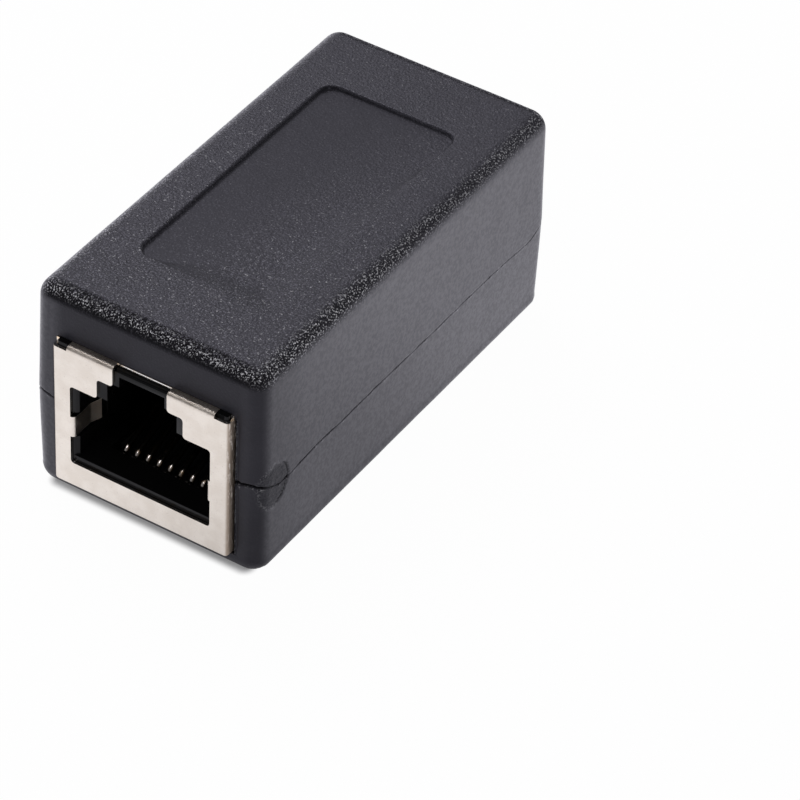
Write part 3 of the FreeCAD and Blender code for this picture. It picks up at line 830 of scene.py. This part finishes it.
def nickelFinish():
    # satin nickel plate: colour = slow stains between two warm greys, a fold over the top painted darker and
    # browner as shade, patchy by its pores, flecks and fine scratches; on the flanks beside the moulding, a
    # rough brown smear with bright upright scrapes. Height = level brushing lines, plus the smear and the
    # scratches
    f = Finish("nickelPlate", Metallic=1.0)
    stain = f.noise(1.6, 4.0, 0.6)
    brush = f.noise(0.5, 3.0, 0.6, stretch=(1.0, 1.0, 9.0))
    scratch = f.noise(0.9, 2.0, 0.5, stretch=(1.2, 1.0, 26.0)).ramp(0.6, 0.68)
    fleck = f.noise(0.12, 1.0).ramp(0.68, 0.76)
    width = f.add("ShaderNodeSeparateXYZ", {}, {0: f.place}, "X").math("ABSOLUTE")
    flank = width.ramp(0.00775, 0.00795)
    smear = f.noise(0.13, 3.0, 0.7, stretch=(1.0, 1.0, 0.14))
    height = f.add("ShaderNodeSeparateXYZ", {}, {0: f.place}, "Z")
    upper, fold = height.ramp(0.0062, 0.0085), height.ramp(0.01475, 0.01525)
    pores = f.noise(0.14, 2.0, 0.6).ramp(0.4, 0.62)
    scrape = smear.ramp(0.54, 0.62) * flank * (0.25 + upper * 0.75)
    tone = f.blend(stain.ramp(0.35, 0.68), (0.80, 0.735, 0.64, 1), (0.885, 0.825, 0.73, 1))
    # painted shade: the fold over the top darker and browner, patchy by the pores
    tone = f.blend(fold * (0.35 + pores * 0.4), tone, (0.50, 0.43, 0.35, 1))
    tone = f.blend(fleck * 0.35, tone, (0.45, 0.40, 0.34, 1))
    tone = f.blend(scratch * 0.25, tone, (0.95, 0.92, 0.88, 1))
    tone = f.blend(flank, tone, (0.46, 0.38, 0.30, 1))
    f.feed("Base Color", f.blend(scrape, tone, (1.0, 0.93, 0.84, 1)))
    f.feed("Roughness", 0.26 + stain * 0.14 + brush * 0.06 + flank * 0.2 + scrape * 0.2)
    f.feed("Metallic", 1 - scrape * 0.6)
    normal = f.bump(brush + smear * flank * 3.0, 0.006, 0.6)
    f.feed("Normal", f.bump(scratch, 0.004, 0.6, normal))
    return f.material


def cutEdgeFinish():
    # sheared edge of the sheet: brass with a thin smear of nickel where a noise is high
    f = Finish("shearedEdge", Metallic=1.0, Roughness=0.32)
    smear = f.noise(0.5, 3.0, 0.6).ramp(0.32, 0.55)
    f.feed("Base Color", f.blend(smear, (0.86, 0.68, 0.48, 1), (0.96, 0.93, 0.88, 1)))
    grit = f.noise(0.08, 2.0)
    f.feed("Roughness", 0.08 + grit * 0.12)
    f.feed("Normal", f.bump(grit, 0.006, 0.6))
    return f.material


def cutRimFinish():
    # the burnished corner between the face and a sheared edge, brighter than both; a few dull nicks
    f = Finish("burnishedRim", Metallic=1.0)
    nick = f.noise(0.35, 2.0, 0.6).ramp(0.6, 0.7)
    f.feed("Base Color", f.blend(nick, (1.0, 0.97, 0.93, 1), (0.8, 0.68, 0.54, 1)))
    f.feed("Roughness", 0.1 + nick * 0.2)
    return f.material


def insulatorFinish():
    # glossy black: a slow noise swells the skin, and dull dust lies where a fine noise peaks
    f = Finish("glossyBlack", IOR=1.5, Specular_IOR_Level=0.2)
    skin = f.noise(1.4, 3.0, 0.55)
    dust = f.noise(0.1, 1.0).ramp(0.7, 0.8)
    f.feed("Base Color", f.blend(dust * 0.5, grey(0.004), grey(0.02)))
    f.feed("Roughness", 0.12 + skin * 0.12 + dust * 0.2)
    f.feed("Normal", f.bump(skin, 0.03, 0.4))
    return f.material


def carrierFinish():
    # black moulding: one noise sets its colour between two near-blacks, its roughness and its skin
    f = Finish("carrierBlack", Roughness=0.3, IOR=1.5)
    skin = f.noise(0.7, 3.0, 0.55)
    f.feed("Base Color", f.blend(skin, grey(0.008), grey(0.016)))
    f.feed("Roughness", 0.24 + skin * 0.16)
    f.feed("Normal", f.bump(skin, 0.02, 0.4))
    return f.material


def goldFinish():
    # gold flash over a drawn wire: lengthwise draw lines, flanks painted dark as shade, and a painted glint
    # bright along the crown, broken by a noise
    f = Finish("goldWire", Metallic=1.0)
    draw = f.noise(0.3, 3.0, 0.6, stretch=(9.0, 1.0, 1.0))
    worn = f.mark("paintedGlintCrown") * f.noise(0.8, 2.0).ramp(0.3, 0.5)
    # painted shade on the dark flanks, painted glint on the crown
    f.feed("Base Color", f.blend(worn, (0.17, 0.12, 0.07, 1), (1.0, 0.93, 0.85, 1)))
    f.feed("Roughness", 0.16 + draw * 0.07 - worn * 0.12)
    f.feed("Normal", f.bump(draw, 0.004, 0.5))
    return f.material


def boardFinish():
    # green lacquer over woven glass: the higher of two crossed bands of waves
    f = Finish("lacqueredBoard", Roughness=0.3, IOR=1.55)
    weave, cross = (f.add("ShaderNodeTexWave", {"wave_type": "BANDS", "bands_direction": way},
                          {"Vector": f.place, "Scale": 800.0, "Distortion": 0.4}, "Fac") for way in "XY")
    cloth = weave.math("MAXIMUM", cross)
    f.feed("Base Color", f.blend(cloth, (0.014, 0.09, 0.035, 1), (0.02, 0.14, 0.055, 1)))
    f.feed("Roughness", 0.24 + cloth * 0.12)
    f.feed("Normal", f.bump(cloth, 0.01, 0.4))
    return f.material


def repaint(name, finish):
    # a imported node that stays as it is, with a finish of this file
    nodes[name].data.materials.clear()
    nodes[name].data.materials.append(finish)


moulding = mouldingFinish()
nickel, cutEdge, cutRim = nickelFinish(), cutEdgeFinish(), cutRimFinish()
glossy, carrier, gold, board = insulatorFinish(), carrierFinish(), goldFinish(), boardFinish()
print("finishes made")

makeHousing(moulding)
for end in ("front", "rear"):
    isRear = end == "rear"
    makeShield(f"{end}FoldedShield", f"{end}_shield", isRear, (nickel, cutEdge, cutRim))
    makePort(f"{end}PortMoulding", f"{end}_insulator", glossy)
    for i in range(contact["count"]):
        makeContact(f"{end}Wire{i + 1}", f"{end}_contact_{i + 1}", i, isRear, gold)
    repaint(f"{end}_contact_carrier", carrier)
repaint("circuit_board", board)
print("jacks made")

# floor, world, lamps and camera
studio = {
    "tint": (0.99, 0.98, 1.04), "floorHalf": 0.6, "floorTone": 0.82, "floorSeen": 0.98,
    # the shadow under the front edge: where it lies, over what distance it clears, what it lets through
    "contactSpan": (0.0085, 0.0196), "contactReach": (0.0003, 0.0012), "contactSeen": 0.2,
    # the floor seen in a mirror: least and most of its glow, and where a painted shadow dims it
    "floorMirrored": (0.5, 0.97), "mirrorShadowPlace": (0.018, -0.014, 0.0), "mirrorShadowReach": (0.008, 0.032),
    "frontSky": 0.18, "backSky": 0.45, "lowSky": 1.0, "skyBand": (0.02, 0.14), "skyTurn": (-0.2, 0.4),
    "lamps": [
        # name, place, width, height, watts
        ("keyBack", (-0.16, 0.10, 0.27), 0.15, 0.15, 0.5),
        ("fillHigh", (-0.02, -0.20, 0.36), 0.20, 0.20, 0.25),
    ],
}


def makeFloor():
    # pale sweep; rays from the camera or a mirror find it near white, but it keeps the shadow; in mirrors a
    # painted shadow dims it towards the front right
    half = studio["floorHalf"]
    mesh = bpy.data.meshes.new("floor")
    corners = [(-half, -half, 0), (half, -half, 0), (half, half, 0), (-half, half, 0)]
    mesh.from_pydata(corners, [], [(0, 1, 2, 3)])
    stand("floor", mesh)
    f = Finish("paleFloor", Roughness=0.9)
    f.feed("Base Color", grey(studio["floorTone"]))
    light = f.add("ShaderNodeLightPath", {}, {}, "Is Camera Ray")
    seen = f.add("ShaderNodeEmission", {}, {"Color": grey(1.0)})
    inMirror = f.add("ShaderNodeEmission", {}, {"Color": grey(1.0, studio["tint"])})
    glow = f.add("ShaderNodeMixShader", {}, {0: light, 1: inMirror, 2: seen})
    # painted shadow: the glow that mirrors see is dimmed round a place to the front right
    ends = {0: f.place, 1: studio["mirrorShadowPlace"]}
    fromMirrorShadow = f.add("ShaderNodeVectorMath", {"operation": "DISTANCE"}, ends, "Value")
    dim, bright = studio["floorMirrored"]
    mirrorRay = light.beside("Is Glossy Ray").math("MAXIMUM", light.beside("Is Transmission Ray"))
    mirrored = mirrorRay * (dim + fromMirrorShadow.ramp(*studio["mirrorShadowReach"]) * (bright - dim))
    # close under the front edge less of the glow shows, so the shadow there stays dark
    spanX, spanY = studio["contactSpan"]
    split = f.add("ShaderNodeSeparateXYZ", {}, {0: f.place}, "X")
    asideX = (split.math("ABSOLUTE") - spanX).math("MAXIMUM", 0.0)
    aheadY = split.beside("Y") + spanY
    fromEdge = (asideX * asideX + aheadY * aheadY) ** 0.5
    clear = studio["contactSeen"] + fromEdge.ramp(*studio["contactReach"]) * (1 - studio["contactSeen"])
    share = (light * studio["floorSeen"]).math("MAXIMUM", mirrored) * clear
    mixed = f.add("ShaderNodeMixShader", {}, {0: share, 1: Wire(f, f.shader.outputs[0]), 2: glow})
    f.join(mixed, f.tree.nodes["Material Output"].inputs["Surface"])
    mesh.materials.append(f.material)


def makeWorld():
    # a room that is darker in front and above than behind; towards the horizon it is the white sweep, and
    # the camera sees white everywhere
    world = bpy.data.worlds.new("studio")
    scene.world = world
    w = Nodes(world)
    across = w.add("ShaderNodeSeparateXYZ", {}, {0: w.add("ShaderNodeTexCoord", {}, {}, "Generated")}, "Y")
    upper = across.ramp(*studio["skyTurn"], studio["frontSky"], studio["backSky"])
    height = across.beside("Z").ramp(*studio["skyBand"], studio["lowSky"], upper)
    room = w.add("ShaderNodeBackground", {}, {"Color": grey(1.0, studio["tint"]), "Strength": height})
    white = w.add("ShaderNodeBackground", {}, {"Color": grey(1.0)})
    seen = w.add("ShaderNodeLightPath", {}, {}, "Is Camera Ray")
    mixed = w.add("ShaderNodeMixShader", {}, {0: seen, 1: room, 2: white})
    w.join(mixed, w.tree.nodes["World Output"].inputs["Surface"])


def makeLamps():
    # soft boxes aimed at the middle of the coupler
    aim = Vector((0.0, 0.0, 0.009))
    for name, place, width, height, watts in studio["lamps"]:
        lamp = bpy.data.lights.new(name, "AREA")
        lamp.shape, lamp.size, lamp.size_y, lamp.energy = "RECTANGLE", width, height, watts
        lamp.color = studio["tint"]
        holder = stand(name, lamp)
        holder.location = place
        holder.rotation_mode = "QUATERNION"
        holder.rotation_quaternion = (aim - Vector(place)).to_track_quat("-Z", "Y")


lens = {
    "azimuth": 30.91, "elevation": 40.433, "roll": 2.834, "distance": 335.93,
    "aside": 8.391, "below": -8.234, "pivotZ": 10.0, "focal": 194.33,
}


def makeCamera():
    # looks at a point beside the coupler's middle, from its front right and above
    azimuth, elevation, roll = (math.radians(lens[key]) for key in ("azimuth", "elevation", "roll"))
    level = math.cos(elevation)
    back = Vector((math.sin(azimuth) * level, -math.cos(azimuth) * level, math.sin(elevation)))
    right = Vector((math.cos(azimuth), math.sin(azimuth), 0))
    up = back.cross(right)
    target = Vector((0, 0, lens["pivotZ"])) + right * lens["aside"] + up * lens["below"]
    x = right * math.cos(roll) + up * math.sin(roll)
    y = up * math.cos(roll) - right * math.sin(roll)
    data = bpy.data.cameras.new("camera")
    data.lens, data.sensor_width = lens["focal"], 36.0
    data.clip_start, data.clip_end = 0.01, 10.0
    camera = stand("camera", data)
    turn = Matrix((x, y, back)).transposed().to_4x4()
    camera.matrix_world = Matrix.Translation((target + back * lens["distance"]) * mm) @ turn
    scene.camera = camera


makeFloor()
makeWorld()
makeLamps()
makeCamera()
scene.view_settings.view_transform = "Standard"
print("studio made")
